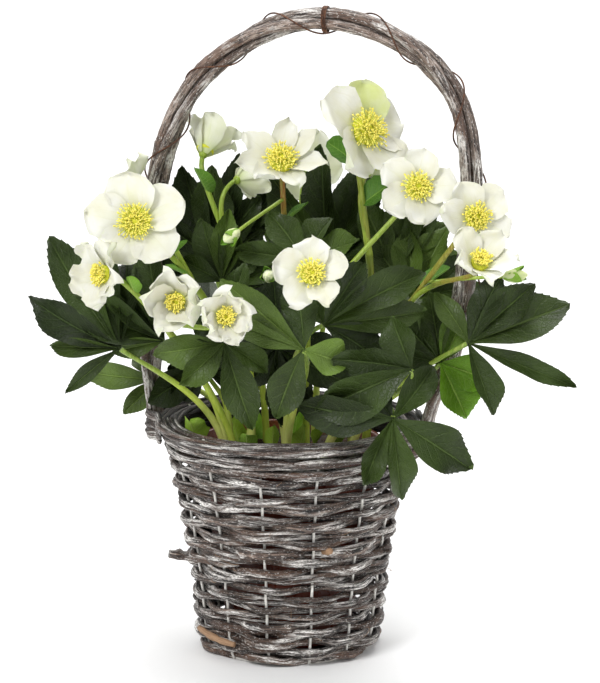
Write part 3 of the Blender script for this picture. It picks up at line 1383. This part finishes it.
def stem(bm, number, spec, rng):
    """A flowering stem with its branches, bracts, buds and sheaths."""
    flush, stout = spec.get("flush", 0.0), spec.get("stout", 1.2)
    main = None
    for index, name in enumerate(spec["blooms"]):
        bloom = BLOOMS[name]
        way = direction(*bloom["look"])
        meets = (way + Vector((0, 0, bloom.get("nod", 0.3)))).normalized()
        thick = STEM_RADIUS * (BRANCH if index else 1)
        clear = RECEPTACLE_THICK / 2 + GAP + thick * sin(way.angle(meets))
        head = Vector(bloom["at"]) - way * clear
        neck = bloom.get("neck", 24)
        if index == 0:
            upright, lean = spec.get("upright", STALK_RISE), spec.get("lean", 0)
            main = stalk_path(spec["foot"], upright, lean, head, meets, neck)
            path, count, begin, joint = main, 34, 0.25, 0.22
        else:
            fork = main.at(FORK)
            path = bezier(fork, fork + main.along(FORK) * 30, head - meets * neck, head)
            count, begin, joint = 24, 0.6, 0
        radii = []
        for i in range(count + 1):
            share = i / count
            swell = joint * exp(-(((share - FORK) / 0.03) ** 2))
            radii.append(thick * (stout - (stout - 0.8) * share + swell))

        def tone(share, begin=begin):
            reddish = flush * soft_step(share, 0.25, 0.55)
            return 1 + reddish if reddish > 0.02 else blend_between(begin, 0.95, share)

        rod(bm, path.evenly(count), radii, STALK_SEAM, 10, 0.06, 0, tone)
    for share, bearing, rise, length, width in spec["bracts"]:
        along = direction(bearing, rise)
        face = direction(bearing, rise + 89) - Vector((0, 1.2 * blunt_end(length, width), 0))
        bract(bm, main.at(share), along, face, length, width, rng, shade=rng.uniform(0.05, 0.4))
    for share, *place in spec["buds"]:
        fork = main.at(share)
        middle = Vector(place)
        along = (middle - fork).normalized()
        neck = bezier(fork, fork.lerp(middle, 0.4), fork.lerp(middle, 0.7) + UP, middle - along * 6, 12)
        rod(bm, neck.evenly(10), [1.35 - 0.01 * i for i in range(11)], STALK_SEAM, 8, 0.05, 0, 0.8)
        bud(bm, middle, along, rng)
    for owner, foot, (bearing, rise), length, width in SHEATHS:
        if owner == number:
            along, face = direction(bearing, rise), direction(bearing + 180, 90 - rise)
            tone = rng.uniform(0.6, 1.0)
            bract(bm, Vector(foot), along, face, length, width * 1.1, rng, 40, tone, rng.uniform(1.2, 2.2))


# ---- What a user would change ----
def length(name, description, metres):
    return FloatProperty(name=name, description=description, default=metres, unit="LENGTH")


def colour(name, description, red, green, blue):
    shade = tint(red, green, blue)
    return FloatVectorProperty(name=name, description=description, default=shade, subtype="COLOR")


class BasketSettings(bpy.types.PropertyGroup):
    """Sizes and colours of the basket, its handle and the pot."""

    wall_height: length("Wall height", "Base to the top wire ring", 0.156)
    foot_radius: length("Foot radius", "Middle of the weave at the foot", 0.0615)
    rim_radius: length("Rim radius", "Middle of the weave at the top", 0.0855)
    wire_radius: length("Wire radius", "Half the thickness of a stake", 0.001)
    bark: colour("Bark", "Bark of the rods", 76, 59, 50)
    bark_dark: colour("Bark cracks", "Dark streaks", 13, 10, 8)
    bark_pale: colour("Bark ridges", "Pale streaks", 154, 136, 123)
    wash: colour("White wash", "Dry white wash", 250, 247, 242)
    pot: colour("Pot", "Plastic of the nursery pot", 112, 52, 34)


class PlantSettings(bpy.types.PropertyGroup):
    """Sizes and colours of the leaves and blooms."""

    leaf_thickness: length("Leaf thickness", "In the middle", 0.0009)
    sepal_thickness: length("Sepal thickness", "In the middle", 0.0007)
    stamens: IntProperty(
        name="Stamens", description="Stamens in a middle-sized bloom", default=200, min=12
    )
    leaf_old: colour("Old leaf", "Darkest leaves", 28, 38, 16)
    leaf_young: colour("Young leaf", "Youngest", 112, 164, 30)
    sepal: colour("Sepal", "White of the sepals", 226, 226, 216)
    anther: colour("Anther", "Pollen yellow", 244, 228, 82)


class StageSettings(bpy.types.PropertyGroup):
    """The floor, the light and the camera."""

    floor: colour("Floor", "Studio floor", 253, 253, 253)
    light: FloatProperty(name="Light", description="Strength of the soft boxes", default=1.0, min=0)
    lens: FloatProperty(name="Lens", description="Focal length in millimetres", default=161.37)
    eye: FloatVectorProperty(
        name="Eye", description="Where the camera is", default=(0.0077, -2.1, 0.646), subtype="XYZ"
    )
    target: FloatVectorProperty(
        name="Target", description="What it looks at", default=(0.0077, 0.0, 0.2185), subtype="XYZ"
    )


# ---- Operators, one for each group of pieces ----
class MakeWeave(bpy.types.Operator):
    """Weave the willow wall and pack its border."""

    bl_idname = "hellebore.weave"
    bl_label = "Willow weave"

    def execute(self, context):
        rng = random.Random(11)
        bm = start_mesh()
        woven_rods(bm, rng)
        loose_ends(bm, rng)
        piece("willow_weave", bm, "willow_bark split_willow", "willow", "basket_weave")
        bm = start_mesh()
        packed_twigs(bm, random.Random(12))
        rng = random.Random(13)
        border_twigs(bm, rng, context.scene.hellebore_basket.rim_radius / MM)
        foot_wraps(bm, rng)
        piece("willow_border", bm, "willow_bark", "willow", "basket_rim_rod")
        return {"FINISHED"}


class MakeWire(bpy.types.Operator):
    """Bend the galvanised wire stakes and their rings."""

    bl_idname = "hellebore.wire"
    bl_label = "Wire frame"

    def execute(self, context):
        basket = context.scene.hellebore_basket
        thick = basket.wire_radius / MM
        tall = basket.wall_height / MM
        rng = random.Random(21)
        bm = start_mesh()
        for index in range(STAKES):
            angle = pi / 2 + tau * index / STAKES
            top = tall + rng.uniform(2, 9)
            points = []
            for i in range(41):
                z = WIRE_LOW + (top - WIRE_LOW) * i / 40
                sway = 0.004 * sin(z * 0.23 + index)
                points.append(round_ring(wall_radius(z) + 0.25 * sin(z * 0.4), angle + sway, z))
            rod(bm, points, [thick] * 41, inward, 6, 0)
        for height in (LOW_RING, tall):
            ring = wall_radius(height) - 1.2
            points = [round_ring(ring, tau * i / 90 + 0.3, height) for i in range(92)]
            rod(bm, points, [thick] * 92, inward, 6, 0)
        piece("wire_stakes", bm, "galvanised_wire", "wire", "basket_wire_frame")
        return {"FINISHED"}


class MakeBase(bpy.types.Operator):
    """Weave the round willow base."""

    bl_idname = "hellebore.base"
    bl_label = "Willow base"

    def execute(self, context):
        rng = random.Random(31)
        bm = start_mesh()
        for index in range(BASE_SPOKES):
            angle = pi * index / BASE_SPOKES + BASE_TURN
            ends = [round_ring(BASE_RADIUS - 2.5, angle + half, 3.6) for half in (0, pi)]
            rod(bm, Path(ends).evenly(24), [2.3] * 25, UP, 8, 0.12, shade=rng.random())
        for row in range(BASE_ROWS):
            radius = 6 + (BASE_RADIUS - 8.5) * row / (BASE_ROWS - 1)
            count = max(24, round(radius * 2.2))
            begin = rng.uniform(0, 6.28)
            points = []
            for i in range(count + 3):
                angle = begin + tau * i / count
                weave = cos((angle - BASE_TURN) * BASE_SPOKES) * (1 if row % 2 else -1)
                uneven = 0.5 * noise.noise(Vector((angle, row, 0)))
                points.append(round_ring(radius + uneven, angle, 3.5 + 0.9 * weave))
            twig(bm, points, [2.15] * len(points), rng, 6, 0.14)
        piece("willow_base", bm, "willow_bark", "willow", "basket_base")
        return {"FINISHED"}


class MakeHandle(bpy.types.Operator):
    """Lay the three rods of the handle together and wind the thin wire round them."""

    bl_idname = "hellebore.handle"
    bl_label = "Handle"

    def execute(self, context):
        middle = handle_middle()
        rng = random.Random(41)
        back = across_handle()
        count = 190
        for index, thick in enumerate(HANDLE_RODS):
            bm = start_mesh()
            knots = HANDLE_KNOTS[index:] + [rng.uniform(0.1, 0.9)]
            points, radii = [], []
            for i in range(count + 1):
                share = i / count
                off_end = 0.5 - abs(share - 0.5)
                wander = [0.5 * noise.noise(Vector((share * 14, index * 3.3, k * 5.1))) for k in range(3)]
                wander = Vector(wander) * soft_step(off_end, 0, 0.08)
                points.append(handle_point(middle, index, share) + wander)
                knot = sum(exp(-(((share - k) * 760 / 4.5) ** 2)) for k in knots)
                tuck = 0.7 + 0.3 * soft_step(off_end, 0.0, 0.03)
                radii.append(thick * (1.04 - 0.12 * share) * (1 + 0.16 * knot) * tuck)
            rod(bm, points, radii, back, 12, 0.13, shade=HANDLE_SHADES[index])
            if index == 0:
                for knot in knots:
                    start = handle_point(middle, index, knot)
                    out = (start - middle.at(knot)).normalized()
                    points = [start, start + out * 4.2, start + out * 6.0]
                    rod(bm, points, [2.0, 1.7, 0.9], back, 8, 0.2, shade=0.1)
            piece(f"handle_willow_{index + 1}", bm, "handle_bark", "willow", f"handle_rod_{index + 1}")
        self.bind(middle)
        return {"FINISHED"}

    def bind(self, middle):
        """The thin wire: one long winding from foot to foot, and three tight bands."""
        bm = start_mesh()
        points = []
        for i in range(481):
            turn = tau * BINDING_TURNS * i / 480
            spread = BINDING_CLEAR + 0.35 * sin(turn * 1.5)
            share = BINDING_FROM + (1 - 2 * BINDING_FROM) * i / 480
            points.append(round_handle(middle, share, spread, turn))
        rod(bm, points, [BINDING_RADIUS] * 481, UP, 6, 0)
        for share in BAND_AT:
            turns = [i / 16 for i in range(49)]
            points = [round_handle(middle, share + 0.0016 * t, BAND_CLEAR, tau * t) for t in turns]
            rod(bm, points, [BINDING_RADIUS] * 49, UP, 6, 0)
        piece("handle_binding", bm, "binding_wire", "binding", "handle_binding_wire")


class MakePot(bpy.types.Operator):
    """Turn the plastic nursery pot."""

    bl_idname = "hellebore.pot"
    bl_label = "Nursery pot"

    def execute(self, context):
        foot, mouth, wall, low, top = (POT[key] for key in ("foot", "mouth", "wall", "bottom", "top"))
        lip, lip_low = mouth + POT["lip"], top - POT["lip_tall"]
        steps = 10
        profile = [(0, low), (foot - 8, low), (foot - 6, low + 1), (foot - 3, low), (foot - 0.6, low + 0.4)]
        profile.append((foot, low + 1.4))
        for i in range(1, steps + 1):
            radius = blend_between(foot, mouth - 0.8, i / steps) - 0.25 * (i % 2)
            profile.append((radius, blend_between(low + 1.4, lip_low, i / steps)))
        profile += [(lip - 0.4, lip_low), (lip, lip_low + 0.5), (lip, top - 0.7), (lip - 0.7, top)]
        inner, inner_low = mouth - wall, low + wall
        profile += [(inner + 0.6, top), (inner, top - 0.7), (foot - wall, inner_low), (0, inner_low)]
        bm = start_mesh()
        turned(bm, profile, 72)
        piece("plastic_pot", bm, "pot_plastic", "pot", "nursery_pot")
        return {"FINISHED"}


class MakeMix(bpy.types.Operator):
    """Fill the pot with potting mix and strew crumbs of bark on it."""

    bl_idname = "hellebore.mix"
    bl_label = "Potting mix"

    def execute(self, context):
        rng = random.Random(51)
        low = POT["bottom"] + POT["wall"] + GAP
        wide = POT["mouth"] - POT["wall"] - 1.4
        narrow = POT["foot"] - POT["wall"] - 0.6
        rings, sides = 26, 96

        def mound(radius):
            return MIX["top"] - MIX["mound"] * soft_step(radius, 30, wide)

        def rough(here):
            return 2.0 * noise.noise(here * 0.11) + 1.2 * noise.noise(here * 0.33)

        def place(row, column):
            angle = tau * (column % sides) / sides
            if row > rings:
                return round_ring((narrow, 0)[row - rings - 1], angle, low)
            here = round_ring(wide * row / rings, angle, 0)
            grain = rough(here) + 0.5 * noise.noise(here * 0.9)
            here.z = mound(wide * row / rings) + grain * (row < rings)
            return here

        bm = start_mesh()
        last = rings + 2
        sheet(bm, last, sides, place, lambda row, column: (row / last, column / sides), 0, 0.2)
        bmesh.ops.reverse_faces(bm, faces=bm.faces)
        shade = bm.verts.layers.float["shade"]
        for _ in range(CRUMBS):
            angle = rng.uniform(0, 2 * pi)
            radius = wide * sqrt(rng.random()) * 0.97
            here = round_ring(radius, angle, 0)
            size = rng.uniform(0.7, 2.3)
            here.z = mound(radius) + rough(here) + size * 0.2
            spans = [size * rng.uniform(*span) for span in ((0.7, 1.7), (0.5, 1.1), (0.4, 0.8))]
            spin = Matrix.Rotation(rng.uniform(0, 6.3), 4, "Z")
            spin = spin @ Matrix.Rotation(rng.uniform(-0.7, 0.7), 4, "X")
            matrix = Matrix.Translation(here) @ spin @ Matrix.Diagonal((*spans, 1))
            verts = bmesh.ops.create_icosphere(bm, subdivisions=1, radius=1.0, matrix=matrix)["verts"]
            tone = rng.random() ** 2
            for vert in verts:
                vert[shade] = tone
            paint(verts, 1, False)
        piece("mix_and_bark", bm, "potting_mix bark_crumbs", "mix", "potting_mix")
        return {"FINISHED"}


class MakeLeaves(bpy.types.Operator):
    """Grow the leaves, a piece for each foot in the mix."""

    bl_idname = "hellebore.leaves"
    bl_label = "Leaves"

    def execute(self, context):
        thick = context.scene.hellebore_plant.leaf_thickness / MM
        for index, (node, (foot, upright, specs)) in enumerate(LEAVES.items()):
            rng = random.Random(100 + index)
            bm = start_mesh()
            for spec in specs:
                leaf(bm, foot, upright, spec, rng, thick)
            piece(f"foliage_{node}", bm, "leaf_face leaf_back leaf_stalk", "leaf", node)
        return {"FINISHED"}


class MakeStems(bpy.types.Operator):
    """Grow the flowering stems with their bracts, buds and sheaths."""

    bl_idname = "hellebore.stems"
    bl_label = "Stems"

    def execute(self, context):
        for number, spec in STEMS.items():
            bm = start_mesh()
            stem(bm, number, spec, random.Random(200 + number))
            finishes = "stem bract_face bract_back bud_skin"
            piece(f"flower_stem_{number:02d}", bm, finishes, "stem", f"stem_{number:02d}")
        return {"FINISHED"}


class MakeBlooms(bpy.types.Operator):
    """Open the blooms: white sepals, and a boss of stamens, nectaries and carpels."""

    bl_idname = "hellebore.blooms"
    bl_label = "Blooms"

    def execute(self, context):
        plant = context.scene.hellebore_plant
        for number, bloom in BLOOMS.items():
            rng = random.Random(300 + number)
            bm = start_mesh()
            sepals(bm, bloom, rng, plant.sepal_thickness / MM)
            finishes = "sepal_face sepal_back stem"
            piece(f"petals_{number:02d}", bm, finishes, "sepal", f"bloom_{number:02d}_sepals")
            bm = start_mesh()
            boss(bm, bloom, rng, plant.stamens)
            finishes = "filament anther nectary carpel"
            piece(f"boss_{number:02d}", bm, finishes, "stamen", f"bloom_{number:02d}_stamens")
        return {"FINISHED"}


class MakeStage(bpy.types.Operator):
    """Set up the pale floor, the soft boxes and the camera."""

    bl_idname = "hellebore.stage"
    bl_label = "Studio"

    # Each soft box: its name, place, size, power, and what it is turned to. One with no target looks down.
    BOXES = (
        ("key_box", (-1.3, -1.7, 1.8), 0.9, 44.0, (0, 0, 0.22)),
        ("fill_box", (1.9, -1.6, 1.0), 1.4, 14.0, (0, 0, 0.22)),
        ("top_box", (0.3, 0.4, 2.2), 1.2, 26.0, (0, 0, 0.22)),
        ("floor_box", (0, 4.6, 3.2), 6.0, 210.0, None),
    )

    def execute(self, context):
        stage = context.scene.hellebore_stage
        bm = bmesh.new()
        bmesh.ops.create_grid(bm, x_segments=1, y_segments=1, size=12.0)
        floor = link_mesh("studio_floor", bm)
        floor.data.materials.append(stage_finish(tuple(stage.floor)))

        world = bpy.data.worlds.new("studio_air")
        context.scene.world = world
        context.scene.view_settings.view_transform = "Standard"
        world.use_nodes = True
        air = world.node_tree.nodes["Background"]
        air.inputs["Color"].default_value = (1.0, 1.0, 1.0, 1)
        air.inputs["Strength"].default_value = 0.42

        for name, place, size, power, target in self.BOXES:
            light = bpy.data.lights.new(name, "AREA")
            light.size = size
            light.energy = power * stage.light
            self.stand(context, name, light, place, target)

        lens = bpy.data.cameras.new("camera")
        lens.lens = stage.lens
        lens.sensor_width = 36
        lens.clip_end = 50
        context.scene.camera = self.stand(context, "camera", lens, stage.eye, stage.target)
        return {"FINISHED"}

    def stand(self, context, name, data, place, target):
        """Puts a light or the camera in its place and turns it to its target."""
        made = bpy.data.objects.new(name, data)
        made.location = place
        if target:
            aim = Vector(target) - Vector(place)
            made.rotation_euler = aim.to_track_quat("-Z", "Y").to_euler()
        context.scene.collection.objects.link(made)
        return made


class HelleborePanel(bpy.types.Panel):
    """Lists the settings and the pieces."""

    bl_idname = "VIEW3D_PT_hellebore"
    bl_label = "Hellebore"
    bl_space_type = "VIEW_3D"
    bl_region_type = "UI"
    bl_category = "Hellebore"

    def draw(self, context):
        scene = context.scene
        for settings in (scene.hellebore_basket, scene.hellebore_plant, scene.hellebore_stage):
            box = self.layout.box()
            for name in settings.__annotations__:
                box.prop(settings, name)
        for maker in MAKERS:
            self.layout.operator(maker.bl_idname)


MAKERS = (
    MakeStage,
    MakeWeave,
    MakeWire,
    MakeBase,
    MakeHandle,
    MakePot,
    MakeMix,
    MakeLeaves,
    MakeStems,
    MakeBlooms,
)
CLASSES = (BasketSettings, PlantSettings, StageSettings, *MAKERS, HelleborePanel)


def register():
    for kind in CLASSES:
        bpy.utils.register_class(kind)
    bpy.types.Scene.hellebore_basket = PointerProperty(type=BasketSettings)
    bpy.types.Scene.hellebore_plant = PointerProperty(type=PlantSettings)
    bpy.types.Scene.hellebore_stage = PointerProperty(type=StageSettings)


def unregister():
    del bpy.types.Scene.hellebore_stage
    del bpy.types.Scene.hellebore_plant
    del bpy.types.Scene.hellebore_basket
    for kind in reversed(CLASSES):
        bpy.utils.unregister_class(kind)


def main():
    register()
    bpy.ops.hellebore.stage()
    bpy.ops.hellebore.weave()
    bpy.ops.hellebore.wire()
    bpy.ops.hellebore.base()
    bpy.ops.hellebore.handle()
    bpy.ops.hellebore.pot()
    bpy.ops.hellebore.mix()
    bpy.ops.hellebore.leaves()
    bpy.ops.hellebore.stems()
    bpy.ops.hellebore.blooms()
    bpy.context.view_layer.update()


if __name__ == "__main__":
    main()
